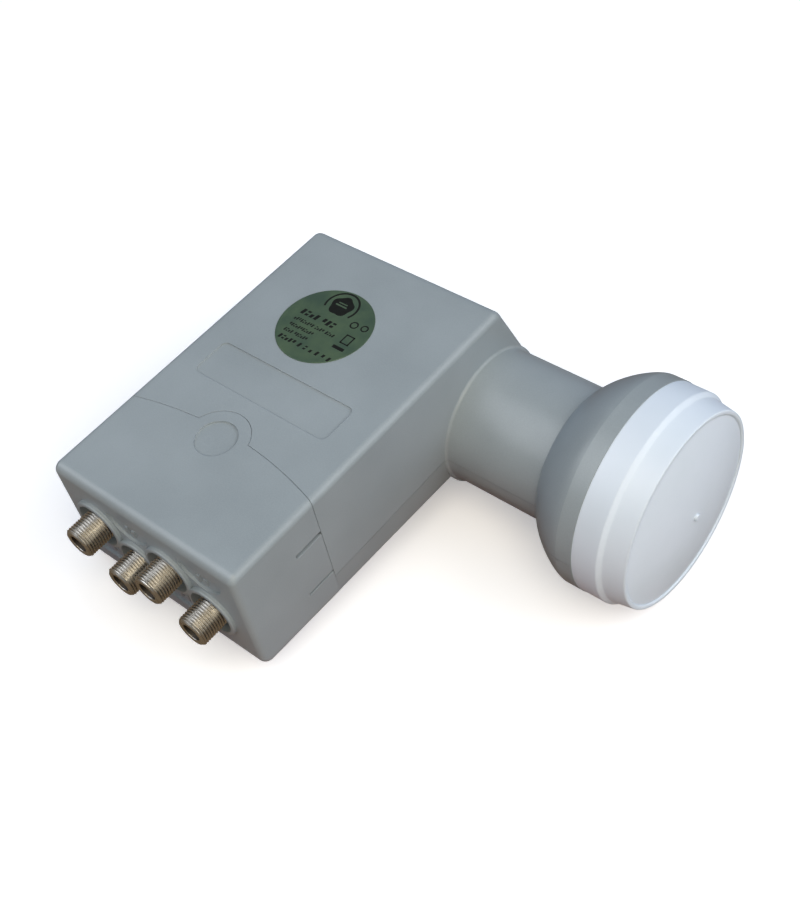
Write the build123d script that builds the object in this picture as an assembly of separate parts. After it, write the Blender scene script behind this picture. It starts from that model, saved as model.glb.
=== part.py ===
"""A universal quad satellite LNB: a moulded housing on a 40 mm neck, a feed cap,
a sliding weather cover over the output sockets, and the cast chassis inside.

Millimetres. The origin is on the neck axis at the middle of the clamping length.
+X runs along the neck towards the feed cap, -Y towards the sockets, +Z out of the label face.
"""
from build123d import *
import math
import os

# Neck and feed head, turned about the X axis
neck_r = 20.0
neck_length = 30.6
neck_wall = 2.4
bell_length = 13.8
bell_fullness = 1.47
head_r = 30.8
rim_band_length = 4.7
head_wall = 2.3
neck_root_r = 0.9
neck_rib_t = 1.6
neck_rib_gap = 0.15
neck_rib_places = (8.0, 24.0)

# Feed cap
cap_set_in = 0.2
cap_band_length = 7.4
cap_step = 1.1
cap_step_round = 0.5
cap_length = 14.6
cap_taper = 2.1
cap_wall = 1.8
cap_lip_width = 1.3
cap_lip_height = 0.5
cap_lip_round = 0.4
cap_dome = 3.4
cap_nub_r = 1.0
cap_nub_height = 0.7
cap_spigot_length = 5.2
cap_spigot_wall = 2.2
cap_fit_gap = 0.1
seal_section_r = 0.6
seal_offset = 2.2

# Case
case_width = 67.0
case_front_y = -95.6
case_top_back_y = 9.6
case_top_z = 32.0
case_bottom_front_z = -6.2
case_bottom_back_z = -10.4
case_back_y = 19.6
case_back_bend_z = 7.0
case_wall = 2.2
parting_z = 0.5
lower_draft = 0.08
front_top_r = 2.6
back_top_r = 3.0
bottom_r = 3.2
side_edge_r = 1.9
least_r = 0.5
hump_r = 20.4
hump_length = 47.0
hump_end_r = 5.0
hump_rib_places = (-15.0, -36.0)

# Weather cover
cover_wall = 2.0
slide_gap = 0.35
edge_gap = 0.1
cover_length = 28.7
cover_edge_rise = 4.9
cover_edge_depth = 6.0
thumb_place = (-1.8, -65.0)
thumb_r = 5.9
thumb_depth = 0.5
tab_r = 9.3
slot_length = 9.2
slot_widths = (0.8, 1.3)
slot_heights = (3.2, 19.5)
nib_height = 0.8
nib_length = 2.0
nib_width = 9.0
nib_setback = 0.6
cover_travel = 22.0
groove_gap = 0.25
slot_relief = 1.5
drain_place = (-6.6, -2.6)
drain_size = (1.7, 0.7)

# Sockets
socket_pitch_share = 0.2
socket_offset = -0.5
socket_upper_z = 16.3
socket_lower_z = 9.2
collar_outer_r = 8.0
collar_inner_r = 6.8
collar_proud = 1.2
collar_round = 0.5
thread_r = 4.75
thread_length = 9.5
shank_r = 4.2
socket_reach = 7.2
socket_bore_r = 2.75
socket_tail_bore_r = 1.3
socket_end_chamfer = 0.5
socket_flange_r = 6.3
socket_flange_t = 1.6
socket_tail_r = 4.0
socket_tail_reach = 1.6
socket_hole_gap = 0.5
insulator_recess = 1.6
insulator_length = 6.1
insulator_fit_gap = 0.02
contact_hole_r = 0.75
contact_r = 0.45
contact_recess = 1.2
contact_reach = 2.5
socket_seal_r = 0.6

# Pockets and label
name_pocket_place = (-1.0, -44.4)
name_pocket_size = (47.8, 12.4)
name_pocket_r = 2.0
name_pocket_depth = 0.4
port_pocket_r = 8.0
port_pocket_offset = 17.0
port_pocket_depth = 0.8
port_pocket_cut = 1.0
port_bar_size = (1.1, 2.4)
port_bar_pitch = 2.6
port_bar_drop = 4.6
port_bar_height = 0.5
label_place = (-4.4, -19.4)
label_r = 13.9
label_t = 0.2

# Chassis
chassis_gap = 0.6
chassis_wall = 2.4
chassis_floor_t = 2.4
chassis_top_z = 25.0
chassis_back_y = 8.4
lid_t = 1.0
lid_rib_height = 0.9
lid_rib_width = 4.0
lid_rib_inset = 18.0
lid_rib_ends = (-75.0, -12.0)
guide_bore_r = 8.75
guide_wall = 2.2
guide_end = -44.0
guide_end_t = 2.5
horn_setback = 3.3
horn_plate_t = 2.2
horn_gap = 1.5
horn_ring_t = 1.2
horn_ring_shares = (0.54, 0.69, 0.84)
horn_ring_length = 9.0
shell_post_r = 3.0
post_margin = 9.0
rear_post_y = -25.0

# Board and what stands on it
board_t = 1.6
board_z = 11.8
board_gap = 0.4
column_r = 2.7
column_foot_r = 4.0
lid_screw_r = 1.25
lid_screw_head_r = 2.3
lid_screw_head_t = 1.2
lid_screw_length = 7.0
screw_fit_gap = 0.02
saddle_width = 12.0
saddle_length = 26.0
probe_r = 0.5
probe_sleeve_r = 1.3
probe_fit_gap = 0.02
probe_reach = 5.0
probe_vertical_place = -30.0
probe_horizontal_place = -22.0
probe_boss_y = -14.0
probe_boss_t = 5.0
isolation_pin_place = -26.0
isolation_pin_r = 0.8
switch_chip_place = (-1.0, -66.0)
switch_chip_size = (10.0, 10.0, 1.2)
converter_chip_places = ((9.5, -38.0), (-10.5, -38.0))
converter_chip_size = (5.0, 5.0, 1.0)
regulator_place = (-17.5, -72.0)
regulator_size = (6.6, 6.2, 2.3)
crystal_places = ((9.5, -48.0), (-10.5, -48.0))
crystal_size = (5.0, 3.2, 1.2)
coil_y = -80.0
coil_r = 1.8
coil_height = 2.6
capacitor_inset = 11.2
capacitor_places_y = (-74.0, -60.0)
capacitor_radii = (2.5, 2.0)
capacitor_height = 5.4
transistor_places = ((3.5, -6.0), (11.5, -20.0), (3.5, -14.0), (15.5, -28.0))
transistor_size = (2.0, 1.3, 0.8)

side_x = -neck_length / 2
left_x = side_x - case_width
mid_x = side_x - case_width / 2
thumb_x = mid_x + thumb_place[0]
socket_pitch = case_width * socket_pitch_share
split_y = case_front_y + cover_length
core_inset = cover_wall + slide_gap
inner_inset = core_inset + case_wall
band_x = side_x + neck_length + bell_length
cap_x = band_x + rim_band_length
cap_front_x = cap_x + cap_length
cap_r = head_r - cap_set_in
cap_front_r = cap_r - cap_taper
spigot_r = head_r - head_wall - cap_fit_gap
horn_x = band_x - horn_setback
horn_r = head_r - head_wall - horn_gap
collar_face_y = case_front_y - collar_proud
socket_end_y = collar_face_y - socket_reach
chassis_front_y = case_front_y + inner_inset + chassis_gap
chassis_left_x = left_x + inner_inset + chassis_gap
chassis_right_x = side_x - inner_inset - chassis_gap
chassis_floor_z = parting_z
socket_tail_y = chassis_front_y + chassis_wall + socket_tail_reach
board_top_z = board_z + board_t
lid_top_z = chassis_top_z + lid_t
guide_outer_r = guide_bore_r + guide_wall
far = 300.0


def block(x, y, z):
    """A box between two X, two Y and two Z values."""
    size = (x[1] - x[0], y[1] - y[0], z[1] - z[0])
    middle = ((x[0] + x[1]) / 2, (y[0] + y[1]) / 2, (z[0] + z[1]) / 2)
    return Pos(*middle) * Box(*size)


def bar(start, direction, radius, length):
    """A round bar from a start point along a direction."""
    return extrude(Plane(origin=start, z_dir=direction) * Circle(radius), length)


def ring(start, direction, outer_r, inner_r, length):
    """A flat or long ring from a start point along a direction."""
    return bar(start, direction, outer_r, length) - bar(start, direction, inner_r, length)


def nearest(face, place):
    return face.vertices().sort_by_distance(place)[0]


def case_face(inset):
    """The case seen from the side, in its (Y, Z) plane, moved in by an inset."""
    face = make_face(Polyline(
        (case_front_y, case_bottom_front_z),
        (case_back_y, case_bottom_back_z),
        (case_back_y, case_back_bend_z),
        (case_top_back_y, case_top_z),
        (case_front_y, case_top_z),
        close=True,
    ))
    if inset > 0:
        face = offset(face, -inset, kind=Kind.INTERSECTION)
    rounds = (
        (Vector(case_front_y, case_bottom_front_z), bottom_r),
        (Vector(case_back_y, case_bottom_back_z), bottom_r),
        (Vector(case_back_y, case_back_bend_z), bottom_r),
        (Vector(case_top_back_y, case_top_z), back_top_r),
        (Vector(case_front_y, case_top_z), front_top_r),
    )
    for place, radius in rounds:
        face = fillet(nearest(face, place), max(radius - inset, least_r))
    return face


def case_block(inset):
    """The case as a filled, rounded block, moved in by an inset on every side."""
    solid = extrude(Plane.YZ * case_face(inset), case_width - 2 * inset)
    solid = Pos(left_x + inset, 0, 0) * solid
    ends = solid.faces().sort_by(Axis.X)
    return fillet(ends[0].edges() + ends[-1].edges(), max(side_edge_r - inset, least_r))


def hump(inset):
    """The round hull of the waveguide under the case, with a soft closed end."""
    start = side_x - hump_length + inset
    solid = bar((start, 0, 0), (1, 0, 0), hump_r - inset, side_x - start)
    end = solid.edges().filter_by(GeomType.CIRCLE).sort_by(Axis.X)[0]
    return fillet(end, hump_end_r - inset)


def head(wall, end):
    """Neck, flare and rim band as one filled turned form, thinned by a wall."""
    start = side_x - case_wall - 1
    low = neck_r - (neck_wall if wall else 0)
    high = head_r - wall
    reach = bell_length - wall
    flare = []
    for step in range(9):
        angle = math.pi / 2 * step / 8
        along = 1 - math.cos(angle) ** bell_fullness
        up = math.sin(angle) ** bell_fullness
        flare.append((band_x - reach + reach * along, 0, low + (high - low) * up))
    curve = Spline(*flare)
    path = Polyline(
        flare[-1], (end, 0, high), (end, 0, 0), (start, 0, 0), (start, 0, low), flare[0])
    return revolve(make_face([curve, *path.edges()]), Axis.X, 360)


def cover_region(grow):
    """All that lies ahead of the cover's rear edge: an arched edge with a round tab on top."""
    y = split_y + grow
    front = case_front_y - far
    step_z = case_top_z - cover_edge_depth
    arch = ThreePointArc((left_x, y), (mid_x, y + cover_edge_rise), (side_x, y))
    frame = Polyline((side_x, y), (side_x + far, y), (side_x + far, front),
                     (left_x - far, front), (left_x - far, y), (left_x, y))
    plate = make_face([arch, *frame.edges()])
    plate = plate + Pos(thumb_x, thumb_place[1]) * Circle(tab_r + grow)
    upper = extrude(Pos(0, 0, step_z) * plate, far)
    return upper + block((left_x - far, side_x + far), (front, y), (-far, step_z))


def socket_places():
    """Centre (x, z) of each socket from the left, upper and lower in turn."""
    places = []
    for index in range(4):
        x = mid_x + socket_offset + (index - 1.5) * socket_pitch
        places.append((x, socket_upper_z if index % 2 == 0 else socket_lower_z))
    return places


def port_pocket(x, z, way):
    """The round-bottomed pocket for a port's marking, above (1) or below (-1) a socket."""
    centre_z = z + way * port_pocket_offset
    edge_z = centre_z - way * port_pocket_cut
    disc = bar((x, case_front_y + port_pocket_depth, centre_z), (0, -1, 0), port_pocket_r, 3)
    keep_z = (edge_z - far, edge_z) if way > 0 else (edge_z, edge_z + far)
    return disc & block((x - far, x + far), (-far, far), keep_z)


def mouth_chamfer(x, z):
    """The cone that takes the inner edge off a socket's collar."""
    inner_r = collar_inner_r - collar_round
    outer_r = collar_inner_r + collar_round
    section = make_face(Polyline((0, -collar_round), (outer_r, -collar_round), (inner_r, collar_round),
                                 (0, collar_round), close=True))
    return Pos(x, collar_face_y, z) * revolve(section, Axis.Y, 360)


def port_bars(x, z, way):
    """Two plain raised bars in a port's pocket, where the real one has its marking."""
    middle_z = z + way * (port_pocket_offset - port_bar_drop)
    floor_y = case_front_y + port_pocket_depth
    half = port_bar_size[1] / 2
    bars = Part()
    for centre in (x - port_bar_pitch / 2, x + port_bar_pitch / 2):
        bars += block((centre - port_bar_size[0] / 2, centre + port_bar_size[0] / 2),
                      (floor_y - port_bar_height, floor_y + port_bar_height),
                      (middle_z - half, middle_z + half))
    return bars


def drain_slot(start_y, depth):
    """The slot low in the front face that lets condensed water out."""
    x = side_x + drain_place[0]
    return block((x - drain_size[0] / 2, x + drain_size[0] / 2), (start_y, start_y + depth),
                 (drain_place[1] - drain_size[1] / 2, drain_place[1] + drain_size[1] / 2))


def make_cover():
    """The weather cover: a five-sided sleeve with collared holes and latch tongues."""
    cover = (case_block(0) - case_block(cover_wall)) & cover_region(0)
    back = case_front_y + cover_wall
    for x, z in socket_places():
        collar = bar((x, back, z), (0, -1, 0), collar_outer_r, cover_wall + collar_proud)
        lip = collar.edges().filter_by(GeomType.CIRCLE).sort_by(Axis.Y)[0]
        cover += fillet(lip, collar_round)
    for index, (x, z) in enumerate(socket_places()):
        cover -= bar((x, back + 1, z), (0, -1, 0), collar_inner_r, far)
        cover -= mouth_chamfer(x, z)
        way = -1 if index % 2 == 0 else 1
        cover -= port_pocket(x, z, way)
        cover += port_bars(x, z, way)
    cover -= bar((thumb_x, thumb_place[1], case_top_z - thumb_depth), (0, 0, 1), thumb_r, 5)
    cover -= drain_slot(case_front_y - 1, core_inset + 1)
    nib_z = sum(slot_heights) / 2
    for wall_x, way in ((side_x, 1), (left_x, -1)):
        through = sorted((wall_x + way, wall_x - way * (cover_wall + 0.2)))
        for z, width in zip(slot_heights, slot_widths):
            cover -= block(through, (split_y - slot_length, split_y + 5),
                           (z - width / 2, z + width / 2))
        depth = sorted((wall_x - way * (cover_wall - 0.2), wall_x - way * (core_inset + nib_height)))
        cover += block(depth, (split_y - nib_setback - nib_length, split_y - nib_setback),
                       (nib_z - nib_width / 2, nib_z + nib_width / 2))
    return cover


def latch_groove(wall_x, way):
    """The groove in the core's side in which a latch nib runs, closed at both ends."""
    depth = sorted((wall_x, wall_x - way * (core_inset + nib_height + groove_gap)))
    front = split_y - nib_setback - nib_length - cover_travel - groove_gap
    nib_z = sum(slot_heights) / 2
    half = nib_width / 2 + groove_gap
    return block(depth, (front, split_y - nib_setback + groove_gap), (nib_z - half, nib_z + half))


def slot_reliefs(wall_x, way):
    """Shallow grooves in the core behind the cover's two slots, so the tongue can flex."""
    depth = sorted((wall_x, wall_x - way * (core_inset + slot_relief)))
    reliefs = Part()
    for z, width in zip(slot_heights, slot_widths):
        reliefs += block(depth, (split_y - slot_length - slide_gap, split_y - slide_gap),
                         (z - width, z + width))
    return reliefs


def draft_cuts():
    """What is taken off the lower shell's two sides so that they slope in below the parting."""
    drop = parting_z - case_bottom_back_z
    start = Plane(origin=(0, far, 0), x_dir=(1, 0, 0), z_dir=(0, -1, 0))
    cuts = Part()
    for wall_x, way in ((side_x, 1), (left_x, -1)):
        face = make_face(Polyline(
            (wall_x, parting_z), (wall_x + way, parting_z), (wall_x + way, parting_z - drop),
            (wall_x - way * lower_draft * drop, parting_z - drop), close=True))
        cuts += extrude(start * face, far - split_y)
    return cuts


def neck_root():
    """The small hollow round where the neck grows out of the case."""
    rim = ((side_x, 0, neck_r + neck_root_r), (side_x + neck_root_r, 0, neck_r))
    lean = neck_root_r * (1 - math.sqrt(0.5))
    hollow = ThreePointArc(rim[0], (side_x + lean, 0, neck_r + lean), rim[1])
    path = Polyline(rim[1], (side_x + neck_root_r, 0, 0), (side_x - 1, 0, 0),
                    (side_x - 1, 0, neck_r + neck_root_r), rim[0])
    return revolve(make_face([hollow, *path.edges()]), Axis.X, 360)


def name_pocket():
    """The shallow pocket with round corners in the label face."""
    place = Pos(mid_x + name_pocket_place[0], name_pocket_place[1],
                case_top_z - name_pocket_depth)
    return extrude(place * RectangleRounded(*name_pocket_size, name_pocket_r), 3)


def shell_posts():
    """Posts under the chassis and over its lid that hold it in the housing."""
    half_wall = case_wall / 2
    posts = Part()
    for y, inset in ((chassis_front_y + post_margin, core_inset + half_wall),
                     (rear_post_y, half_wall)):
        pair = Part()
        for x in (chassis_left_x + post_margin, chassis_right_x - post_margin):
            pair += bar((x, y, -far / 10), (0, 0, 1), shell_post_r, far / 10 + chassis_floor_z)
            pair += bar((x, y, lid_top_z), (0, 0, 1), shell_post_r, far / 10)
        posts += pair & case_block(inset)
    return posts


def guide_ribs():
    """Ring ribs that centre the waveguide in the neck, and half rings in the hump."""
    ribs = Part()
    inner_r = guide_outer_r + neck_rib_gap
    for place in neck_rib_places:
        ribs += ring((side_x + place, 0, 0), (1, 0, 0), neck_r - 1, inner_r, neck_rib_t)
    low = block((-far, far), (-far, far), (-far, 0))
    for place in hump_rib_places:
        rib = ring((side_x + place, 0, 0), (1, 0, 0), hump_r - 1, inner_r, neck_rib_t)
        ribs += rib & low
    return ribs


def make_housing():
    """Both shells in one, before they are parted."""
    outside = case_block(0) - cover_region(edge_gap) - draft_cuts()
    outside += case_block(core_inset)
    outside += hump(0)
    outside += head(0, cap_x)
    outside += neck_root()
    rear = block((left_x, side_x), (split_y + 9, far), (-far, far))
    inside = case_block(inner_inset)
    inside += case_block(case_wall) & rear
    inside += hump(case_wall)
    inside += head(head_wall, cap_x + 1)
    housing = outside - inside
    housing += shell_posts() + guide_ribs()
    housing -= name_pocket()
    for wall_x, way in ((side_x, 1), (left_x, -1)):
        housing -= latch_groove(wall_x, way)
        housing -= slot_reliefs(wall_x, way)
    housing -= drain_slot(case_front_y, core_inset + slot_relief)
    for x, z in socket_places():
        housing -= bar((x, case_front_y, z), (0, 1, 0), socket_flange_r + socket_hole_gap,
                       inner_inset + 1)
    return housing


def circles_at(solid, x):
    """The round edges of a turned solid at one place along X."""
    return [edge for edge in solid.edges().filter_by(GeomType.CIRCLE)
            if abs(edge.arc_center.X - x) < 0.01]


def dome_arc(x, radius):
    """Half a shallow dome, from its rim at a radius to its crown on the axis."""
    sphere_r = (radius ** 2 + cap_dome ** 2) / (2 * cap_dome)
    centre_x = x + cap_dome - sphere_r
    half = math.asin(radius / sphere_r) / 2
    middle = (centre_x + sphere_r * math.cos(half), 0, sphere_r * math.sin(half))
    return ThreePointArc((x, 0, radius), middle, (x + cap_dome, 0, 0))


def make_cap():
    """The white feed cap: a stepped cup with a domed face, a lip and a spigot."""
    step_x = cap_x + cap_band_length
    face_r = cap_front_r - cap_lip_width
    face_x = cap_front_x - cap_lip_height
    rim = Polyline(
        (cap_x - cap_spigot_length, 0, 0), (cap_x - cap_spigot_length, 0, spigot_r),
        (cap_x, 0, spigot_r), (cap_x, 0, cap_r), (step_x, 0, cap_r),
        (step_x + cap_step, 0, cap_r - cap_step), (cap_front_x, 0, cap_front_r),
        (cap_front_x, 0, face_r), (face_x, 0, face_r))
    dome = dome_arc(face_x, face_r)
    base = Line((face_x + cap_dome, 0, 0), (cap_x - cap_spigot_length, 0, 0))
    outside = revolve(make_face([*rim.edges(), dome, base]), Axis.X, 360)
    outside = fillet(circles_at(outside, step_x), cap_step_round)
    outside = fillet(circles_at(outside, step_x + cap_step), cap_step_round)
    outside = fillet(circles_at(outside, cap_front_x), cap_lip_round)
    hollow_r = spigot_r - cap_spigot_wall
    vault_x = face_x - cap_wall
    open_x = cap_x - cap_spigot_length - 1
    side = Polyline((open_x, 0, 0), (open_x, 0, hollow_r), (vault_x - 1, 0, hollow_r),
                    (vault_x, 0, hollow_r - 1))
    vault = dome_arc(vault_x, hollow_r - 1)
    floor = Line((vault_x + cap_dome, 0, 0), (open_x, 0, 0))
    cap = outside - revolve(make_face([*side.edges(), vault, floor]), Axis.X, 360)
    cap += bar((face_x + cap_dome - 0.5, 0, 0), (1, 0, 0), cap_nub_r, 0.5 + cap_nub_height)
    groove_x = cap_x - seal_offset - seal_section_r
    cap -= ring((groove_x, 0, 0), (1, 0, 0), spigot_r + 1, spigot_r - 2 * seal_section_r + cap_fit_gap,
                2 * seal_section_r)
    return cap


def make_cap_seal():
    path_r = spigot_r - seal_section_r + cap_fit_gap
    section = Plane.XZ * Pos(cap_x - seal_offset, path_r) * Circle(seal_section_r - 0.02)
    return revolve(section, Axis.X, 360)


def column_places():
    """Where the lid is screwed down: four corners and the middle of both long walls."""
    inset = chassis_wall + column_r - 0.6
    back = chassis_back_y - inset
    front = -60.0
    spots = []
    for x in (chassis_left_x + inset, chassis_right_x - inset):
        for y in (front, (front + back) / 2, back):
            spots.append((x, y))
    return spots


def make_horn():
    """The corrugated feed horn: a plate with ring walls round the waveguide's mouth."""
    horn = bar((horn_x, 0, 0), (1, 0, 0), horn_r, horn_plate_t)
    for share in horn_ring_shares:
        radius = horn_r * share
        horn += ring((horn_x, 0, 0), (1, 0, 0), radius + horn_ring_t, radius,
                     horn_plate_t + horn_ring_length)
    return horn


def make_chassis():
    """The die-cast chassis: a tray, the waveguide, the probe saddle and the horn."""
    outer_x = (chassis_left_x, chassis_right_x)
    outer_y = (chassis_front_y, chassis_back_y)
    tray = block(outer_x, outer_y, (chassis_floor_z, chassis_top_z))
    tray = fillet(tray.edges().filter_by(Axis.Z), 2.0)
    inner_x = (chassis_left_x + chassis_wall, chassis_right_x - chassis_wall)
    inner_y = (chassis_front_y + chassis_wall, chassis_back_y - chassis_wall)
    tray -= block(inner_x, inner_y, (chassis_floor_z + chassis_floor_t, chassis_top_z + 1))
    for x, y in column_places():
        foot = bar((x, y, chassis_floor_z), (0, 0, 1), column_foot_r, board_z - chassis_floor_z)
        column = bar((x, y, chassis_floor_z), (0, 0, 1), column_r, chassis_top_z - chassis_floor_z)
        tray += (foot + column) & block(outer_x, outer_y, (0, far))
    guide_x = side_x + guide_end
    tray += bar((guide_x, 0, 0), (1, 0, 0), guide_outer_r,
                horn_x + horn_plate_t + horn_ring_length - guide_x)
    tray += make_horn()
    saddle_x = (side_x + guide_end + 4, side_x + guide_end + 4 + saddle_length)
    tray += block(saddle_x, (-saddle_width / 2, saddle_width / 2), (guide_bore_r, board_z))
    boss_x = side_x + probe_horizontal_place
    tray += block((boss_x - probe_boss_t / 2, boss_x + probe_boss_t / 2),
                  (probe_boss_y - 1, -guide_bore_r), (-3.0, board_z))
    tray -= bar((guide_x + guide_end_t, 0, 0), (1, 0, 0), guide_bore_r, 200)
    for x, z in socket_places():
        tray -= bar((x, chassis_front_y - 1, z), (0, 1, 0), socket_tail_r + screw_fit_gap,
                    chassis_wall + socket_tail_reach + 2)
    for x, y in column_places():
        tray -= bar((x, y, chassis_top_z + 1), (0, 0, -1), lid_screw_r + screw_fit_gap,
                    lid_screw_length + 1.5)
    tray -= vertical_sleeve_room()
    tray -= horizontal_sleeve_room()
    tray -= bar((side_x + isolation_pin_place, 0, -guide_outer_r), (0, 0, 1),
                isolation_pin_r + probe_fit_gap, guide_outer_r + board_z - 1)
    return tray


def vertical_sleeve_room():
    return bar((side_x + probe_vertical_place, 0, guide_bore_r - 1), (0, 0, 1),
               probe_sleeve_r, board_z)


def horizontal_sleeve_room():
    """The angled hole beside the waveguide: down from the board, then in through its wall."""
    x = side_x + probe_horizontal_place
    middle = probe_boss_y + probe_sleeve_r
    down = bar((x, middle, board_z + 1), (0, 0, -1), probe_sleeve_r, board_z + 1)
    across = bar((x, middle, 0), (0, 1, 0), probe_sleeve_r, -middle - guide_bore_r + 1.5)
    return down + across + Pos(x, middle, 0) * Sphere(probe_sleeve_r)


def vertical_probe():
    x = side_x + probe_vertical_place
    top = board_top_z + 0.6
    return bar((x, 0, top), (0, 0, -1), probe_r, top - guide_bore_r + probe_reach)


def horizontal_probe():
    x = side_x + probe_horizontal_place
    middle = probe_boss_y + probe_sleeve_r
    top = board_top_z + 0.6
    down = bar((x, middle, top), (0, 0, -1), probe_r, top)
    across = bar((x, middle, 0), (0, 1, 0), probe_r, -middle - guide_bore_r + probe_reach)
    return down + across + Pos(x, middle, 0) * Sphere(probe_r)


def make_vertical_sleeve():
    x = side_x + probe_vertical_place
    return ring((x, 0, guide_bore_r), (0, 0, 1), probe_sleeve_r - probe_fit_gap,
                probe_r + probe_fit_gap, board_z - guide_bore_r)


def make_horizontal_sleeve():
    x = side_x + probe_horizontal_place
    middle = probe_boss_y + probe_sleeve_r
    radius = probe_sleeve_r - probe_fit_gap
    sleeve = bar((x, middle, board_z), (0, 0, -1), radius, board_z)
    sleeve += bar((x, middle, 0), (0, 1, 0), radius, -middle - guide_bore_r)
    sleeve += Pos(x, middle, 0) * Sphere(radius)
    inner = probe_r + probe_fit_gap
    sleeve -= bar((x, middle, board_z), (0, 0, -1), inner, board_z)
    sleeve -= bar((x, middle, 0), (0, 1, 0), inner, far / 10)
    return sleeve - Pos(x, middle, 0) * Sphere(inner)


def make_isolation_pin():
    return bar((side_x + isolation_pin_place, 0, -guide_outer_r + 0.2), (0, 0, 1),
               isolation_pin_r, guide_outer_r + board_z - 1.4)


def make_lid():
    """The stamped lid of the chassis, with two pressed ribs and screw holes."""
    lid = block((chassis_left_x, chassis_right_x), (chassis_front_y, chassis_back_y),
                (chassis_top_z, lid_top_z))
    lid = fillet(lid.edges().filter_by(Axis.Z), 2.0)
    half = lid_rib_width / 2
    for x in (chassis_left_x + lid_rib_inset, chassis_right_x - lid_rib_inset):
        lid += block((x - half, x + half), lid_rib_ends, (lid_top_z, lid_top_z + lid_rib_height))
        lid -= block((x - half + lid_t, x + half - lid_t),
                     (lid_rib_ends[0] + lid_t, lid_rib_ends[1] - lid_t), (chassis_top_z, lid_top_z))
    for x, y in column_places():
        lid -= bar((x, y, chassis_top_z - 1), (0, 0, 1), lid_screw_r + screw_fit_gap, 5)
    return lid


def make_lid_screws():
    """Six pan-head screws, each with a cross recess."""
    screws = []
    for x, y in column_places():
        screw = bar((x, y, lid_top_z), (0, 0, -1), lid_screw_r, lid_screw_length)
        screw += bar((x, y, lid_top_z), (0, 0, 1), lid_screw_head_r, lid_screw_head_t)
        top = lid_top_z + lid_screw_head_t
        for size in ((1.3, 0.25), (0.25, 1.3)):
            screw -= block((x - size[0], x + size[0]), (y - size[1], y + size[1]),
                           (top - 0.7, top + 1))
        screws.append(screw)
    return Compound(children=screws)


def make_board():
    """The circuit board, cut out round the lid columns and drilled for the probes."""
    board = block((chassis_left_x + chassis_wall + board_gap,
                   chassis_right_x - chassis_wall - board_gap),
                  (socket_tail_y + board_gap, chassis_back_y - chassis_wall - board_gap),
                  (board_z, board_top_z))
    for x, y in column_places():
        board -= bar((x, y, board_z - 1), (0, 0, 1), column_r + board_gap, board_t + 2)
    drill = probe_r + probe_fit_gap
    board -= bar((side_x + probe_vertical_place, 0, board_z - 1), (0, 0, 1), drill, board_t + 2)
    board -= bar((side_x + probe_horizontal_place, probe_boss_y + probe_sleeve_r, board_z - 1),
                 (0, 0, 1), drill, board_t + 2)
    return board


def make_socket(x, z):
    """A female F socket: threaded barrel, flange, tail and stepped bore."""
    socket = bar((x, socket_end_y, z), (0, 1, 0), thread_r, thread_length)
    mouth = socket.edges().filter_by(GeomType.CIRCLE).sort_by(Axis.Y)[0]
    socket = chamfer(mouth, socket_end_chamfer)
    socket += bar((x, socket_end_y + 1, z), (0, 1, 0), shank_r, chassis_front_y - socket_end_y - 1)
    socket += bar((x, chassis_front_y - socket_flange_t, z), (0, 1, 0), socket_flange_r,
                  socket_flange_t)
    socket += bar((x, chassis_front_y, z), (0, 1, 0), socket_tail_r,
                  socket_tail_y - chassis_front_y)
    socket -= bar((x, socket_end_y, z), (0, 1, 0), socket_bore_r,
                  insulator_recess + insulator_length)
    return socket - bar((x, socket_end_y, z), (0, 1, 0), socket_tail_bore_r, far / 10)


def make_insulator(x, z):
    """The insulator that fills the socket's stepped bore."""
    front = socket_end_y + insulator_recess
    body = bar((x, front, z), (0, 1, 0), socket_bore_r - insulator_fit_gap, insulator_length)
    body += bar((x, front, z), (0, 1, 0), socket_tail_bore_r - insulator_fit_gap,
                socket_tail_y - front)
    body -= bar((x, front, z), (0, 1, 0), contact_hole_r, contact_recess)
    return body - bar((x, front, z), (0, 1, 0), contact_r + insulator_fit_gap, far / 10)


def make_contact(x, z):
    """The contact wire from the socket to the face of the board."""
    front = socket_end_y + insulator_recess + contact_recess
    end_y = socket_tail_y + contact_reach
    face_z = board_top_z if z > board_z else board_z
    wire = bar((x, front, z), (0, 1, 0), contact_r, end_y - front)
    wire += Pos(x, end_y, z) * Sphere(contact_r)
    return wire + bar((x, end_y, face_z), (0, 0, 1 if z > face_z else -1), contact_r,
                      abs(z - face_z))


def make_socket_seal(x, z):
    path_r = shank_r + socket_seal_r
    y = chassis_front_y - socket_flange_t - socket_seal_r
    section = Pos(path_r, y) * Circle(socket_seal_r - 0.02)
    return Pos(x, 0, z) * revolve(section, Axis.Y, 360)


def chip(place, size):
    """A part standing on the board: its place from the case's middle, and its three sizes."""
    x = mid_x + place[0]
    y = place[1]
    return block((x - size[0] / 2, x + size[0] / 2), (y - size[1] / 2, y + size[1] / 2),
                 (board_top_z, board_top_z + size[2]))


def make_label():
    place = (mid_x + label_place[0], label_place[1], case_top_z)
    return bar(place, (0, 0, 1), label_r, label_t)


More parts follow.
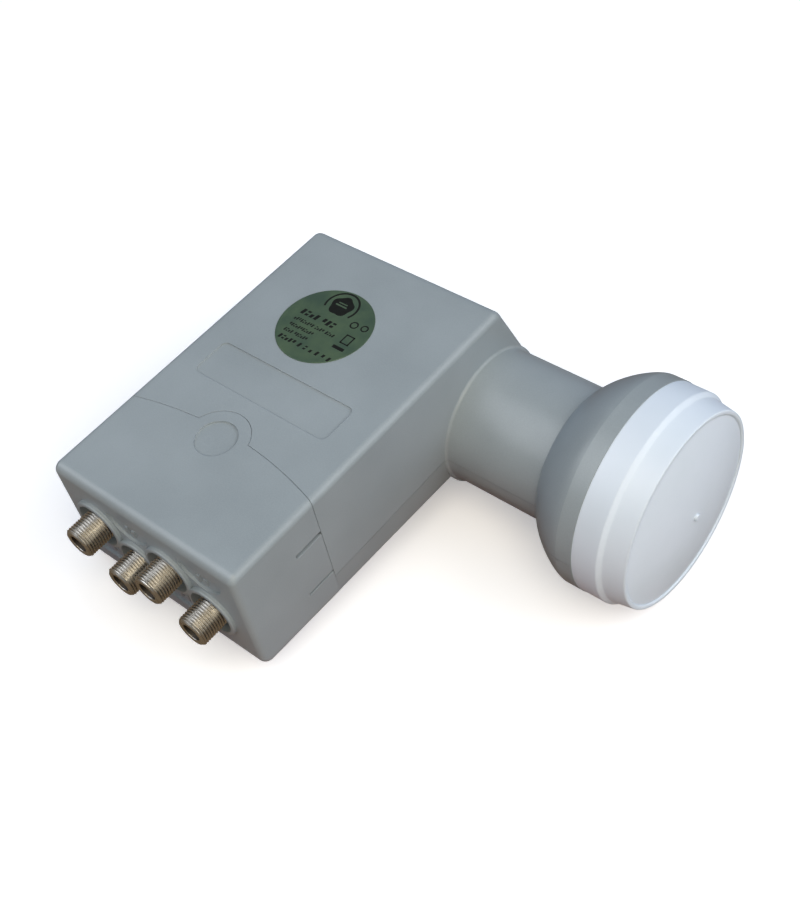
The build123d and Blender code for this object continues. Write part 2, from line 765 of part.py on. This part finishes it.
def board_parts():
    """What is soldered to the board, by name."""
    first, second = converter_chip_places
    parts = {
        "switch_chip": chip(switch_chip_place, switch_chip_size),
        "converter_chip_1": chip(first, converter_chip_size),
        "converter_chip_2": chip(second, converter_chip_size),
        "voltage_regulator": chip(regulator_place, regulator_size),
    }
    crystals = [chip(place, crystal_size) for place in crystal_places]
    parts["reference_crystals"] = Compound(children=crystals)
    coils = [bar((x, coil_y, board_top_z), (0, 0, 1), coil_r, coil_height)
             for x, _ in socket_places()]
    parts["choke_coils"] = Compound(children=coils)
    places_x = (chassis_right_x - capacitor_inset, chassis_left_x + capacitor_inset)
    cans = [bar((x, y, board_top_z), (0, 0, 1), radius, capacitor_height)
            for x, y, radius in zip(places_x, capacitor_places_y, capacitor_radii)]
    parts["filter_capacitors"] = Compound(children=cans)
    transistors = [chip(place, transistor_size) for place in transistor_places]
    parts["amplifier_transistors"] = Compound(children=transistors)
    return parts


def all_parts():
    housing = make_housing()
    parts = {
        "upper_shell": housing & block((-far, far), (-far, far), (parting_z, far)),
        "lower_shell": housing & block((-far, far), (-far, far), (-far, parting_z)),
        "weather_cover": make_cover(),
        "feed_cap": make_cap(),
        "cap_seal": make_cap_seal(),
        "round_label": make_label(),
        "cast_chassis": make_chassis(),
        "chassis_lid": make_lid(),
        "lid_screws": make_lid_screws(),
        "circuit_board": make_board(),
        "vertical_probe": vertical_probe(),
        "horizontal_probe": horizontal_probe(),
        "vertical_probe_sleeve": make_vertical_sleeve(),
        "horizontal_probe_sleeve": make_horizontal_sleeve(),
        "isolation_pin": make_isolation_pin(),
    }
    parts.update(board_parts())
    for index, (x, z) in enumerate(socket_places(), start=1):
        parts[f"f_socket_{index}"] = make_socket(x, z)
        parts[f"socket_insulator_{index}"] = make_insulator(x, z)
        parts[f"socket_contact_{index}"] = make_contact(x, z)
        parts[f"socket_seal_{index}"] = make_socket_seal(x, z)
    return parts


def main():
    os.makedirs("parts", exist_ok=True)
    for name, part in all_parts().items():
        export_step(part, f"parts/{name}.step")


main()
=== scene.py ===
import math

import bmesh
import bpy
from mathutils import Matrix, Quaternion, Vector


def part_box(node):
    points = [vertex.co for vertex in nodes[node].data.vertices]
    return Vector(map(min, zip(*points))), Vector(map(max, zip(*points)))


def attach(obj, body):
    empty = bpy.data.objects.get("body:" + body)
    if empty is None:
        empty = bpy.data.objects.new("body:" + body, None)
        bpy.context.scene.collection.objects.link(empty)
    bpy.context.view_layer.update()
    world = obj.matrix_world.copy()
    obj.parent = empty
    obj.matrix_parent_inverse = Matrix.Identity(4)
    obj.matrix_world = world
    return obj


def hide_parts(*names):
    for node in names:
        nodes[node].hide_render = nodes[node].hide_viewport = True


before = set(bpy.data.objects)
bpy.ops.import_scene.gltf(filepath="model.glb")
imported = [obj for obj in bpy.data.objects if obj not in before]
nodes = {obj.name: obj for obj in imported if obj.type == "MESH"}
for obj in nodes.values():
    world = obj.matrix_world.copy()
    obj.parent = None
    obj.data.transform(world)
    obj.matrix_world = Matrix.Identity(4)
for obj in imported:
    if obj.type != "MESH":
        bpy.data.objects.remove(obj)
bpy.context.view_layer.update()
mm = 0.001
print("frame loaded:", len(nodes), "nodes")

# The photograph's camera, in metres and degrees
photoCamera = {
    "location": (0.16388, -0.18569, 0.28679),
    "aim": (-0.02811, -0.02481, 0.00103),
    "roll": -13.49,
    "focalPixels": 1366.9,
    "longSidePixels": 900,
    "sensorWidth": 36.0,
}


def makeCamera(settings):
    data = bpy.data.cameras.new("photoCamera")
    data.sensor_width = settings["sensorWidth"]
    data.lens = settings["focalPixels"] * settings["sensorWidth"] / settings["longSidePixels"]
    data.clip_start = 0.01
    camera = bpy.data.objects.new("photoCamera", data)
    bpy.context.scene.collection.objects.link(camera)
    location = Vector(settings["location"])
    look = (Vector(settings["aim"]) - location).to_track_quat("-Z", "Y")
    roll = Quaternion((0, 0, 1), math.radians(settings["roll"]))
    camera.rotation_mode = "QUATERNION"
    camera.location = location
    camera.rotation_quaternion = look @ roll
    bpy.context.scene.camera = camera


makeCamera(photoCamera)
print("camera placed")


# Materials
def linearColour(hexColour, alpha=1.0):
    channels = [int(hexColour[i:i + 2], 16) / 255 for i in (1, 3, 5)]
    linear = [c / 12.92 if c <= 0.04045 else ((c + 0.055) / 1.055) ** 2.4 for c in channels]
    return linear + [alpha]


def addNode(tree, kind, settings=None, links=None):
    # adds one node, sets its sockets or properties by name, and links its inputs
    node = tree.nodes.new(kind)
    for name, value in (settings or {}).items():
        if isinstance(name, int) or name in node.inputs:
            node.inputs[name].default_value = value
        else:
            setattr(node, name, value)
    for name, source in (links or {}).items():
        tree.links.new(source, node.inputs[name])
    return node


def newMaterial(name):
    material = bpy.data.materials.new(name)
    material.use_nodes = True
    tree = material.node_tree
    tree.nodes.clear()
    output = addNode(tree, "ShaderNodeOutputMaterial")
    shader = addNode(tree, "ShaderNodeBsdfPrincipled")
    tree.links.new(shader.outputs["BSDF"], output.inputs["Surface"])
    return material, tree, shader


def rampColours(node, stops):
    # stops are two (position, hex colour) pairs
    for element, (position, colour) in zip(node.color_ramp.elements, stops):
        element.position = position
        element.color = linearColour(colour)


noiseSpan = (0.3, 0.7)  # the part of a noise's range that its values mostly fill
grooveShadeFold = {"From Min": 0.5, "From Max": 0.44, "To Max": 0.9}  # painted shade in grooves, by pointiness, flat to grooved


def makeFinish(name, look):
    # one noise for the colour, one for the grain; the grain also breaks up the gloss
    material, tree, shader = newMaterial(name)
    place = addNode(tree, "ShaderNodeTexCoord").outputs["Object"]
    stretch = addNode(tree, "ShaderNodeVectorMath",
                      {"operation": "MULTIPLY", 1: look.get("stretch", (1, 1, 1))}, {0: place})
    cloud = addNode(tree, "ShaderNodeTexNoise",
                    {"Scale": 1 / look["cloud"], "Detail": 3.0}, {"Vector": place})
    grain = addNode(tree, "ShaderNodeTexNoise",
                    {"Scale": 1 / look["grain"], "Detail": 2.0}, {"Vector": stretch.outputs[0]})
    blotch = addNode(tree, "ShaderNodeMixRGB", {"Fac": look.get("speckle", 0.0)},
                     {"Color1": cloud.outputs["Fac"], "Color2": grain.outputs["Fac"]})
    tint = addNode(tree, "ShaderNodeValToRGB", {}, {"Fac": blotch.outputs["Color"]})
    rampColours(tint, zip(noiseSpan, (look["low"], look["high"])))
    colour = tint.outputs["Color"]
    # Painted shade: the colour darkens where the surface folds into a groove
    if "grooveShade" in look:
        bend = addNode(tree, "ShaderNodeNewGeometry").outputs["Pointiness"]
        depth = addNode(tree, "ShaderNodeMapRange", grooveShadeFold, {"Value": bend})
        colour = addNode(tree, "ShaderNodeMixRGB", {"Color2": linearColour(look["grooveShade"])},
                         {"Fac": depth.outputs["Result"], "Color1": colour}).outputs["Color"]
    gloss = addNode(tree, "ShaderNodeMapRange",
                    {"From Min": noiseSpan[0], "From Max": noiseSpan[1],
                     "To Min": look["roughness"][0], "To Max": look["roughness"][1]},
                    {"Value": grain.outputs["Fac"]})
    normal = addNode(tree, "ShaderNodeBevel", {"Radius": look.get("edge", 0.1 * mm), "samples": 4})
    if "partingHeight" in look:
        height = addNode(tree, "ShaderNodeSeparateXYZ", {}, {"Vector": place})
        line = addNode(tree, "ShaderNodeMath",
                       {"operation": "COMPARE", 1: look["partingHeight"], 2: look["partingWidth"]},
                       {0: height.outputs["Z"]})
        normal = addNode(tree, "ShaderNodeBump", {"Distance": look["partingDepth"], "invert": True},
                         {"Height": line.outputs[0], "Normal": normal.outputs["Normal"]})
    bump = addNode(tree, "ShaderNodeBump", {"Distance": look["bump"]},
                   {"Height": grain.outputs["Fac"], "Normal": normal.outputs["Normal"]})
    tree.links.new(colour, shader.inputs["Base Color"])
    tree.links.new(gloss.outputs["Result"], shader.inputs["Roughness"])
    tree.links.new(bump.outputs["Normal"], shader.inputs["Normal"])
    shader.inputs["IOR"].default_value = look.get("ior", 1.5)
    shader.inputs["Metallic"].default_value = look.get("metallic", 0.0)
    return material


# ABS, moulded in a spark-textured tool: a soft sheen broken up by a fine grain
greyAbs = {
    "low": "#8f989b", "high": "#9ea7aa", "roughness": (0.28, 0.40), "grain": 0.34 * mm,
    "cloud": 24.0 * mm, "bump": 0.02 * mm, "edge": 0.3 * mm, "speckle": 0.4,
}
# The two shells show the line where they meet, level with the neck's axis
partedAbs = dict(greyAbs, partingHeight=0.5 * mm, partingWidth=0.13 * mm, partingDepth=0.12 * mm)
# Polypropylene, moulded smooth and white, transparent to microwaves
whitePolypropylene = {
    "low": "#dbe5ed", "high": "#e1eaf3", "roughness": (0.36, 0.46), "grain": 0.7 * mm,
    "cloud": 18.0 * mm, "bump": 0.006 * mm, "edge": 0.45 * mm,
}
# Turned brass with bright nickel plate, dulled by handling; the dark in its thread grooves is
# painted shade
nickelPlate = {
    "low": "#b8b6b1", "high": "#cccac5", "roughness": (0.24, 0.30), "grain": 2.5 * mm,
    "cloud": 3.5 * mm, "bump": 0.0, "metallic": 1.0, "grooveShade": "#2a2319",
}
# The inside of the bore, painted near-black as the shade deep in it
shadedBoreBrass = {
    "low": "#1d1812", "high": "#2b241b", "roughness": (0.42, 0.58), "grain": 0.3 * mm,
    "cloud": 1.5 * mm, "bump": 0.002 * mm, "metallic": 0.5,
}
# Printed metal foil under a clear varnish
greenFoil = {
    "low": "#3f5648", "high": "#536950", "roughness": (0.30, 0.42), "grain": 1.2 * mm,
    "cloud": 7.0 * mm, "bump": 0.002 * mm, "metallic": 0.25,
}
# Screen ink on the foil
blackInk = {
    "low": "#070c0b", "high": "#0e1514", "roughness": (0.50, 0.62), "grain": 0.2 * mm,
    "cloud": 1.0 * mm, "bump": 0.002 * mm, "ior": 1.3,
}
# Die-cast aluminium, as it left the die
castAluminium = {
    "low": "#8c8d8e", "high": "#a3a3a2", "roughness": (0.42, 0.62), "grain": 0.6 * mm,
    "cloud": 7.0 * mm, "bump": 0.03 * mm, "metallic": 1.0, "edge": 0.25 * mm,
}
# Rolled aluminium sheet, with the rolling marks along its length
rolledSheet = {
    "low": "#aeaeac", "high": "#c2c2bf", "roughness": (0.26, 0.40), "grain": 0.35 * mm,
    "cloud": 12.0 * mm, "bump": 0.004 * mm, "metallic": 1.0, "stretch": (1, 0.04, 1),
}
# Zinc-plated steel
zincSteel = {
    "low": "#9a9ca0", "high": "#b4b5b3", "roughness": (0.28, 0.42), "grain": 0.3 * mm,
    "cloud": 1.5 * mm, "bump": 0.003 * mm, "metallic": 1.0,
}
# Glass-fibre board under green solder mask: the weave shows faintly
solderMask = {
    "low": "#1d4d2c", "high": "#265c36", "roughness": (0.30, 0.44), "grain": 0.6 * mm,
    "cloud": 3.5 * mm, "bump": 0.006 * mm,
}
# Gold-flashed brass contacts
goldContact = {
    "low": "#b48a45", "high": "#d0a75a", "roughness": (0.20, 0.32), "grain": 0.2 * mm,
    "cloud": 0.9 * mm, "bump": 0.002 * mm, "metallic": 1.0,
}
# Glass-filled plastic of the insulators, painted dark brown as the shade deep in the sockets' bores
shadedInsulator = {
    "low": "#3a332b", "high": "#4a4238", "roughness": (0.38, 0.50), "grain": 0.3 * mm,
    "cloud": 2.0 * mm, "bump": 0.003 * mm,
}
# Epoxy moulding compound of the chips
blackEpoxy = {
    "low": "#1b1b1c", "high": "#262627", "roughness": (0.50, 0.66), "grain": 0.18 * mm,
    "cloud": 1.4 * mm, "bump": 0.006 * mm,
}
# EPDM rubber seals
blackRubber = {
    "low": "#141414", "high": "#1d1d1c", "roughness": (0.62, 0.78), "grain": 0.25 * mm,
    "cloud": 1.2 * mm, "bump": 0.008 * mm,
}

materials = {
    "shells": makeFinish("mouldedGreyAbsParted", partedAbs),
    "cover": makeFinish("mouldedGreyAbs", greyAbs),
    "cap": makeFinish("mouldedWhitePolypropylene", whitePolypropylene),
    "nickel": makeFinish("nickelPlatedBrass", nickelPlate),
    "bore": makeFinish("shadedBoreBrass", shadedBoreBrass),
    "foil": makeFinish("greenLabelFoil", greenFoil),
    "ink": makeFinish("blackScreenInk", blackInk),
    "casting": makeFinish("dieCastAluminium", castAluminium),
    "sheet": makeFinish("rolledAluminiumSheet", rolledSheet),
    "steel": makeFinish("zincPlatedSteel", zincSteel),
    "board": makeFinish("greenSolderMask", solderMask),
    "contact": makeFinish("goldFlashedBrass", goldContact),
    "insulator": makeFinish("glassFilledPlastic", shadedInsulator),
    "chip": makeFinish("blackEpoxyCompound", blackEpoxy),
    "seal": makeFinish("blackEpdmRubber", blackRubber),
}
print("materials made:", len(materials))

# Which material each CAD node wears
wornBy = {
    "shells": ["upper_shell", "lower_shell"],
    "cover": ["weather_cover"],
    "cap": ["feed_cap"],
    "casting": ["cast_chassis"],
    "sheet": ["chassis_lid", "reference_crystals", "filter_capacitors"],
    "steel": ["lid_screws", "isolation_pin"],
    "board": ["circuit_board"],
    "contact": ["vertical_probe", "horizontal_probe"]
    + [f"socket_contact_{i}" for i in range(1, 5)],
    "insulator": ["vertical_probe_sleeve", "horizontal_probe_sleeve"]
    + [f"socket_insulator_{i}" for i in range(1, 5)],
    "chip": ["switch_chip", "converter_chip_1", "converter_chip_2", "voltage_regulator",
             "choke_coils", "amplifier_transistors"],
    "seal": ["cap_seal"] + [f"socket_seal_{i}" for i in range(1, 5)],
}
for finish, members in wornBy.items():
    for member in members:
        nodes[member].data.materials.clear()
        nodes[member].data.materials.append(materials[finish])


def finishMesh(name, bm, finishes, sharpAngle=35.0):
    # turns a bmesh into a smooth-shaded object with crisp edges
    bmesh.ops.recalc_face_normals(bm, faces=bm.faces)
    for face in bm.faces:
        face.smooth = True
    for edge in bm.edges:
        if len(edge.link_faces) == 2 and edge.calc_face_angle(0.0) > math.radians(sharpAngle):
            edge.smooth = False
    mesh = bpy.data.meshes.new(name)
    bm.to_mesh(mesh)
    bm.free()
    for finish in finishes:
        mesh.materials.append(materials[finish])
    piece = bpy.data.objects.new(name, mesh)
    bpy.context.scene.collection.objects.link(piece)
    return piece


# Threaded barrels of the F sockets: 3/8 inch, 32 threads to the inch
barrel = {
    "threadRadius": 4.75 * mm, "threadDepth": 0.42 * mm, "pitch": 0.794 * mm,
    "threadEnd": 9.5 * mm, "endFace": 4.05 * mm, "leadIn": 0.75 * mm,
    "boreRadius": 2.75 * mm, "boreChamfer": 0.22 * mm, "boreDepth": 7.7 * mm,
    "shankRadius": 4.2 * mm, "flangeStart": 11.95 * mm, "flangeRadius": 6.3 * mm,
    "flangeEnd": 13.55 * mm, "tailRadius": 4.0 * mm, "tailBore": 1.3 * mm,
    "segments": 96, "rowsPerTurn": 10, "sharpAngle": 50.0, "turnPerSocket": 0.27,
}


def threadRadiusAt(look, depth, turn):
    # a rounded V thread that runs out over the lead-in and at the thread's end
    phase = (depth / look["pitch"] - turn) % 1.0
    groove = (1 - abs(2 * phase - 1)) ** 1.2 * look["threadDepth"]
    runOut = min(1.0, (look["threadEnd"] - depth) / look["pitch"])
    radius = look["threadRadius"] - groove * max(0.0, runOut)
    slope = (look["threadRadius"] - look["endFace"]) / look["leadIn"]
    return min(radius, look["endFace"] + depth * slope)


def makeBarrel(name, look, centreX, frontY, centreZ, length, startTurn):
    # no operator turns a thread with a lead-in and a run-out, so its rows are laid one by one
    count = look["segments"]
    rows = [(length, look["tailBore"]), (look["boreDepth"], look["tailBore"]),
            (look["boreDepth"], look["boreRadius"]), (look["boreChamfer"], look["boreRadius"]),
            (0.0, look["boreRadius"] + look["boreChamfer"])]
    threadRows = int(look["threadEnd"] / look["pitch"] * look["rowsPerTurn"])
    rows += [(look["threadEnd"] * step / threadRows, None) for step in range(threadRows + 1)]
    rows += [(look["threadEnd"], look["shankRadius"]), (look["flangeStart"], look["shankRadius"]),
             (look["flangeStart"], look["flangeRadius"]), (look["flangeEnd"], look["flangeRadius"]),
             (look["flangeEnd"], look["tailRadius"]), (length, look["tailRadius"])]
    bm = bmesh.new()
    loops = []
    for depth, radius in rows:
        loop = []
        for step in range(count):
            turn = step / count
            reach = threadRadiusAt(look, depth, turn + startTurn) if radius is None else radius
            angle = 2 * math.pi * turn
            loop.append(bm.verts.new((centreX + reach * math.cos(angle), frontY + depth,
                                      centreZ + reach * math.sin(angle))))
        loops.append(loop)
    for row, (first, second) in enumerate(zip(loops, loops[1:] + loops[:1])):
        for step in range(count):
            after = (step + 1) % count
            face = bm.faces.new((first[step], first[after], second[after], second[step]))
            # the bore's inside wears the near-black painted shade
            face.material_index = 1 if row < 3 else 0
    return finishMesh(name, bm, ["nickel", "bore"], look["sharpAngle"])


for i in range(1, 5):
    low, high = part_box(f"f_socket_{i}")
    socket = makeBarrel(f"threadedSocket{i}", barrel, (low.x + high.x) / 2, low.y,
                        (low.z + high.z) / 2, high.y - low.y, i * barrel["turnPerSocket"])
    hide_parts(f"f_socket_{i}")
    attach(socket, "housing")
print("threaded sockets made")

# The label's print, as rows of plain bars, a disc, rings and a frame: no letters, numbers or marks
# Each row is (left end, height up the label, bar height, pitch of the bars, bars in each group)
labelPrint = {
    "lift": 0.012 * mm, "depth": 0.03 * mm, "edgeRound": 0.08 * mm, "segments": 96,
    "rows": [
        (-9.7, 0.2, 2.0, 1.62, (4, 3)),
        (-9.7, -2.4, 1.15, 0.80, (9, 4, 4)),
        (-9.4, -4.8, 1.15, 0.80, (11,)),
        (-9.3, -7.1, 1.15, 0.80, (4, 6)),
        (-8.9, -9.9, 1.5, 1.25, (5, 1, 1, 1, 1, 1, 1)),
    ],
    "slant": 0.2, "barShare": 0.66, "groupGap": 0.7,
    "bars": [((0.0, 1.0),), ((0.0, 0.4), (0.66, 1.0)), ((0.0, 0.66),), ((0.0, 1.0),),
             ((0.3, 1.0),)],
    "emblem": {"centre": (-0.9, 8.1), "disc": 3.5, "lobes": (5, 0.07), "ring": (4.7, 5.3),
               "arc": (-30, 205), "discSteps": 72, "arcSteps": 40},
    "emblemBars": [(-3.1, 7.9, 0.5, 3.9), (-2.6, 8.9, 0.35, 3.0)],
    "frame": {"centre": (9.1, -1.0), "size": (3.0, 3.5), "line": 0.42},
    "underline": (6.9, -5.1, 1.1, 3.9),
    "rings": [(7.0, 4.3, 1.3), (10.4, 4.7, 1.2)], "ringLine": 0.42, "halfRingSteps": 20,
}


def addOutline(bm, points, level, slot):
    # one closed printed shape; points are in mm from the centre, level is (top, depth)
    top, depth = level
    face = bm.faces.new([bm.verts.new((x * mm, y * mm, top - depth)) for x, y in points])
    raised = bmesh.ops.extrude_face_region(bm, geom=[face])["geom"]
    lifted = [item for item in raised if isinstance(item, bmesh.types.BMVert)]
    bmesh.ops.translate(bm, verts=lifted, vec=(0, 0, depth))
    face.material_index = slot
    for vert in lifted:
        for side in vert.link_faces:
            side.material_index = slot


def addBar(bm, corner, size, span, slant, level):
    # a leaning printed bar that covers part of its row's height
    (x, y), (width, tall), (lower, upper) = corner, size, span
    low, high = lower * tall, upper * tall
    addOutline(bm, [(x + low * slant, y + low), (x + width + low * slant, y + low),
                    (x + width + high * slant, y + high), (x + high * slant, y + high)], level, 1)


def arcPoints(centre, radius, first, last, count):
    angles = [math.radians(first + (last - first) * i / count) for i in range(count + 1)]
    return [(centre[0] + radius * math.cos(a), centre[1] + radius * math.sin(a)) for a in angles]


def makeLabel(look, low, high):
    centre = (low + high) / 2
    radius = (high.x - low.x) / 2
    bm = bmesh.new()
    bmesh.ops.create_cone(bm, cap_ends=True, segments=look["segments"], radius1=radius,
                          radius2=radius, depth=high.z - low.z,
                          matrix=Matrix.Translation((0, 0, centre.z)))
    rim = [edge for edge in bm.edges if all(vert.co.z > centre.z for vert in edge.verts)]
    bmesh.ops.bevel(bm, geom=rim, offset=look["edgeRound"], offset_type="OFFSET", segments=1,
                    profile=0.5, affect="EDGES", material=-1)
    ink = (high.z + look["lift"], look["depth"])  # its foot is sunk into the foil
    overInk = (high.z + 2 * look["lift"], look["depth"])
    count = 0
    for start, up, tall, pitch, groups in look["rows"]:
        x = start
        for group in groups:
            for step in range(group):
                for lower, upper in look["bars"][count % len(look["bars"])]:
                    addBar(bm, (x, up), (pitch * look["barShare"], tall), (lower, upper),
                           look["slant"], ink)
                x += pitch
                count += 1
            x += pitch * look["groupGap"]
    emblem = look["emblem"]
    lobes, swell = emblem["lobes"]
    disc = []
    steps = emblem["discSteps"]
    for x, y in arcPoints((0, 0), emblem["disc"], 0, 360, steps)[:steps]:
        reach = 1 + swell * math.sin(lobes * math.atan2(y, x))
        disc.append((emblem["centre"][0] + x * reach, emblem["centre"][1] + y * reach))
    addOutline(bm, disc, ink, 1)
    for left, up, tall, width in look["emblemBars"]:
        addOutline(bm, [(left, up), (left + width, up), (left + width, up + tall),
                        (left, up + tall)], overInk, 0)
    first, last = emblem["arc"]
    outer = arcPoints(emblem["centre"], emblem["ring"][1], first, last, emblem["arcSteps"])
    inner = arcPoints(emblem["centre"], emblem["ring"][0], first, last, emblem["arcSteps"])
    addOutline(bm, outer + inner[::-1], ink, 1)
    left, up, tall, width = look["underline"]
    addBar(bm, (left, up), (width, tall), (0.0, 1.0), 0.0, ink)
    box = look["frame"]
    x, y = box["centre"]
    w, h = box["size"][0] / 2, box["size"][1] / 2
    line = box["line"]
    for left, right, down, up in ((-w, w, h - line, h), (-w, w, -h, line - h),
                                  (-w, line - w, -h, h), (w - line, w, -h, h)):
        addOutline(bm, [(x + left, y + down), (x + right, y + down), (x + right, y + up),
                        (x + left, y + up)], ink, 1)
    for x, y, size in look["rings"]:
        for first, last in ((0, 180), (180, 360)):
            steps = look["halfRingSteps"]
            outer = arcPoints((x, y), size, first, last, steps)
            inner = arcPoints((x, y), size - look["ringLine"], first, last, steps)
            addOutline(bm, outer + inner[::-1], ink, 1)
    bmesh.ops.translate(bm, vec=(centre.x, centre.y, 0), verts=bm.verts)
    return finishMesh("printedLabel", bm, ["foil", "ink"])


# The housing's skin under the rear of the tab, which shows when the cover is slid out
tabSkin = {"side": -1.8 * mm, "back": 9.3 * mm, "angles": (40, 140), "steps": 24,
           "innerRadius": 6.0 * mm, "stepRadius": 9.42 * mm, "outerRadius": 12.0 * mm,
           "top": 2.38 * mm, "stepTop": 2.15 * mm, "bottom": 3.38 * mm}


def makeTabSkin(look, low, high):
    # low and high are the cover's corners; the tab's circle is centred short of its far edge
    middle = Vector(((low.x + high.x) / 2 + look["side"], high.y - look["back"], high.z))
    start, end = (math.radians(angle) for angle in look["angles"])
    section = [(look["innerRadius"], look["bottom"]), (look["outerRadius"], look["bottom"]),
               (look["outerRadius"], look["stepTop"]), (look["stepRadius"], look["stepTop"]),
               (look["stepRadius"], look["top"]), (look["innerRadius"], look["top"])]
    bm = bmesh.new()
    face = bm.faces.new([bm.verts.new((radius, 0, -depth)) for radius, depth in section])
    bmesh.ops.rotate(bm, verts=bm.verts, matrix=Matrix.Rotation(start, 3, "Z"))
    bmesh.ops.spin(bm, geom=[face, *face.edges, *face.verts], cent=(0, 0, 0), axis=(0, 0, 1),
                   angle=end - start, steps=look["steps"])
    bmesh.ops.translate(bm, verts=bm.verts, vec=middle)
    return finishMesh("tabSkin", bm, ["shells"])


tabPlate = makeTabSkin(tabSkin, *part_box("weather_cover"))
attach(tabPlate, "housing")

low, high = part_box("round_label")
label = makeLabel(labelPrint, low, high)
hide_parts("round_label")
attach(label, "housing")
print("label printed")

# Floor: pale to the camera; its bounce light is warm under the object, like a wooden stand's,
# and cool farther out
floorLook = {"seen": "#ffffff", "seenGlow": (0.3, 1.0), "glowReach": (0.5, 1.6),
             "near": "#8a3a1e", "far": "#a09385", "mirrored": "#85735c",
             "size": 6.0, "segments": 64, "standCentre": (-0.065, -0.045, -0.03),
             "standRadius": (0.08, 0.135)}


def makeFloor(look, normal, point):
    material, tree, shader = newMaterial("paleFloor")
    path = addNode(tree, "ShaderNodeLightPath")
    place = addNode(tree, "ShaderNodeTexCoord").outputs["Object"]
    away = addNode(tree, "ShaderNodeVectorMath",
                   {"operation": "DISTANCE", 1: look["standCentre"]}, {0: place})
    spread = addNode(tree, "ShaderNodeMapRange",
                     {"From Min": look["standRadius"][0], "From Max": look["standRadius"][1]},
                     {"Value": away.outputs["Value"]})
    bounce = addNode(tree, "ShaderNodeMixRGB",
                     {"Color1": linearColour(look["near"]), "Color2": linearColour(look["far"])},
                     {"Fac": spread.outputs["Result"]})
    glossy = addNode(tree, "ShaderNodeMixRGB", {"Color2": linearColour(look["mirrored"])},
                     {"Fac": path.outputs["Is Glossy Ray"], "Color1": bounce.outputs["Color"]})
    mix = addNode(tree, "ShaderNodeMixRGB", {"Color2": linearColour(look["seen"])},
                  {"Fac": path.outputs["Is Camera Ray"], "Color1": glossy.outputs["Color"]})
    tree.links.new(mix.outputs["Color"], shader.inputs["Base Color"])
    # The far floor glows more, to the camera alone, so that it meets the backdrop as white
    reach = addNode(tree, "ShaderNodeMapRange",
                    {"From Min": look["glowReach"][0], "From Max": look["glowReach"][1],
                     "To Min": look["seenGlow"][0], "To Max": look["seenGlow"][1]},
                    {"Value": away.outputs["Value"]})
    glow = addNode(tree, "ShaderNodeMath", {"operation": "MULTIPLY"},
                   {0: path.outputs["Is Camera Ray"], 1: reach.outputs["Result"]})
    tree.links.new(glow.outputs[0], shader.inputs["Emission Strength"])
    shader.inputs["Emission Color"].default_value = linearColour(look["seen"])
    shader.inputs["Roughness"].default_value = 1.0
    shader.inputs["Specular IOR Level"].default_value = 0.0
    mesh = bpy.data.meshes.new("floor")
    bm = bmesh.new()
    bmesh.ops.create_circle(bm, cap_ends=True, segments=look["segments"],
                            radius=look["size"] / 2)
    turn = Vector((0, 0, 1)).rotation_difference(normal).to_matrix().to_4x4()
    bmesh.ops.transform(bm, matrix=Matrix.Translation(point) @ turn, verts=bm.verts)
    bm.to_mesh(mesh)
    bm.free()
    floor = bpy.data.objects.new("floor", mesh)
    mesh.materials.append(material)
    bpy.context.scene.collection.objects.link(floor)


# The table top touches the head's rim, the hump's end and the case's front left edge
tableTop = {"normal": (0.1192, 0.1229, 0.9852), "point": (-0.0579, -0.003, -0.0202)}
makeFloor(floorLook, Vector(tableTop["normal"]).normalized(), Vector(tableTop["point"]))


# Warm windows over the camera's shoulder and off the cap's end, a cool one behind, a pale card
# at the left that only shows as a sheen, and the blue sky
windows = {
    "cameraWindow": {"energy": 9.0, "location": (0.40, -0.55, 1.10), "size": 1.1,
                     "colour": "#fff0d4"},
    "capWindow": {"energy": 4.1, "location": (0.95, -0.20, 0.62), "size": 1.0,
                  "colour": "#fff0d4"},
    "backWindow": {"energy": 5.6, "location": (0.85, 0.65, 0.75), "size": 1.0,
                   "colour": "#f0f5ff"},
    "leftReflector": {"energy": 7.0, "location": (-0.55, -0.50, 0.90), "size": 1.0,
                      "colour": "#f2f6ff", "reflectedOnly": True},
}
skyLook = {"horizon": "#b4d4ff", "zenith": "#bcd8ff", "mirrored": "#c9c6be",
           "seen": "#ffffff", "strength": 0.48}


def makeWindow(name, look):
    data = bpy.data.lights.new(name, "AREA")
    data.energy = look["energy"]
    data.size = look["size"]
    data.color = linearColour(look["colour"])[:3]
    light = bpy.data.objects.new(name, data)
    light.location = look["location"]
    light.rotation_mode = "QUATERNION"
    light.rotation_quaternion = (-Vector(look["location"])).to_track_quat("-Z", "Y")
    light.visible_diffuse = not look.get("reflectedOnly", False)
    bpy.context.scene.collection.objects.link(light)


def makeSky(look):
    world = bpy.data.worlds.new("softSky")
    bpy.context.scene.world = world
    world.use_nodes = True
    tree = world.node_tree
    place = addNode(tree, "ShaderNodeTexCoord").outputs["Generated"]
    height = addNode(tree, "ShaderNodeSeparateXYZ", {}, {"Vector": place})
    tint = addNode(tree, "ShaderNodeValToRGB", {}, {"Fac": height.outputs["Z"]})
    rampColours(tint, [(0.0, look["horizon"]), (0.8, look["zenith"])])
    path = addNode(tree, "ShaderNodeLightPath")
    glossy = addNode(tree, "ShaderNodeMixRGB", {"Color2": linearColour(look["mirrored"])},
                     {"Fac": path.outputs["Is Glossy Ray"], "Color1": tint.outputs["Color"]})
    background = tree.nodes["Background"]
    tree.links.new(glossy.outputs["Color"], background.inputs["Color"])
    background.inputs["Strength"].default_value = look["strength"]
    backdrop = addNode(tree, "ShaderNodeBackground", {"Color": linearColour(look["seen"])})
    mix = addNode(tree, "ShaderNodeMixShader", {}, {"Fac": path.outputs["Is Camera Ray"],
                  1: background.outputs["Background"], 2: backdrop.outputs["Background"]})
    tree.links.new(mix.outputs["Shader"], tree.nodes["World Output"].inputs["Surface"])


for name, look in windows.items():
    makeWindow(name, look)
makeSky(skyLook)
bpy.context.scene.view_settings.view_transform = "Standard"
print("floor and light placed")
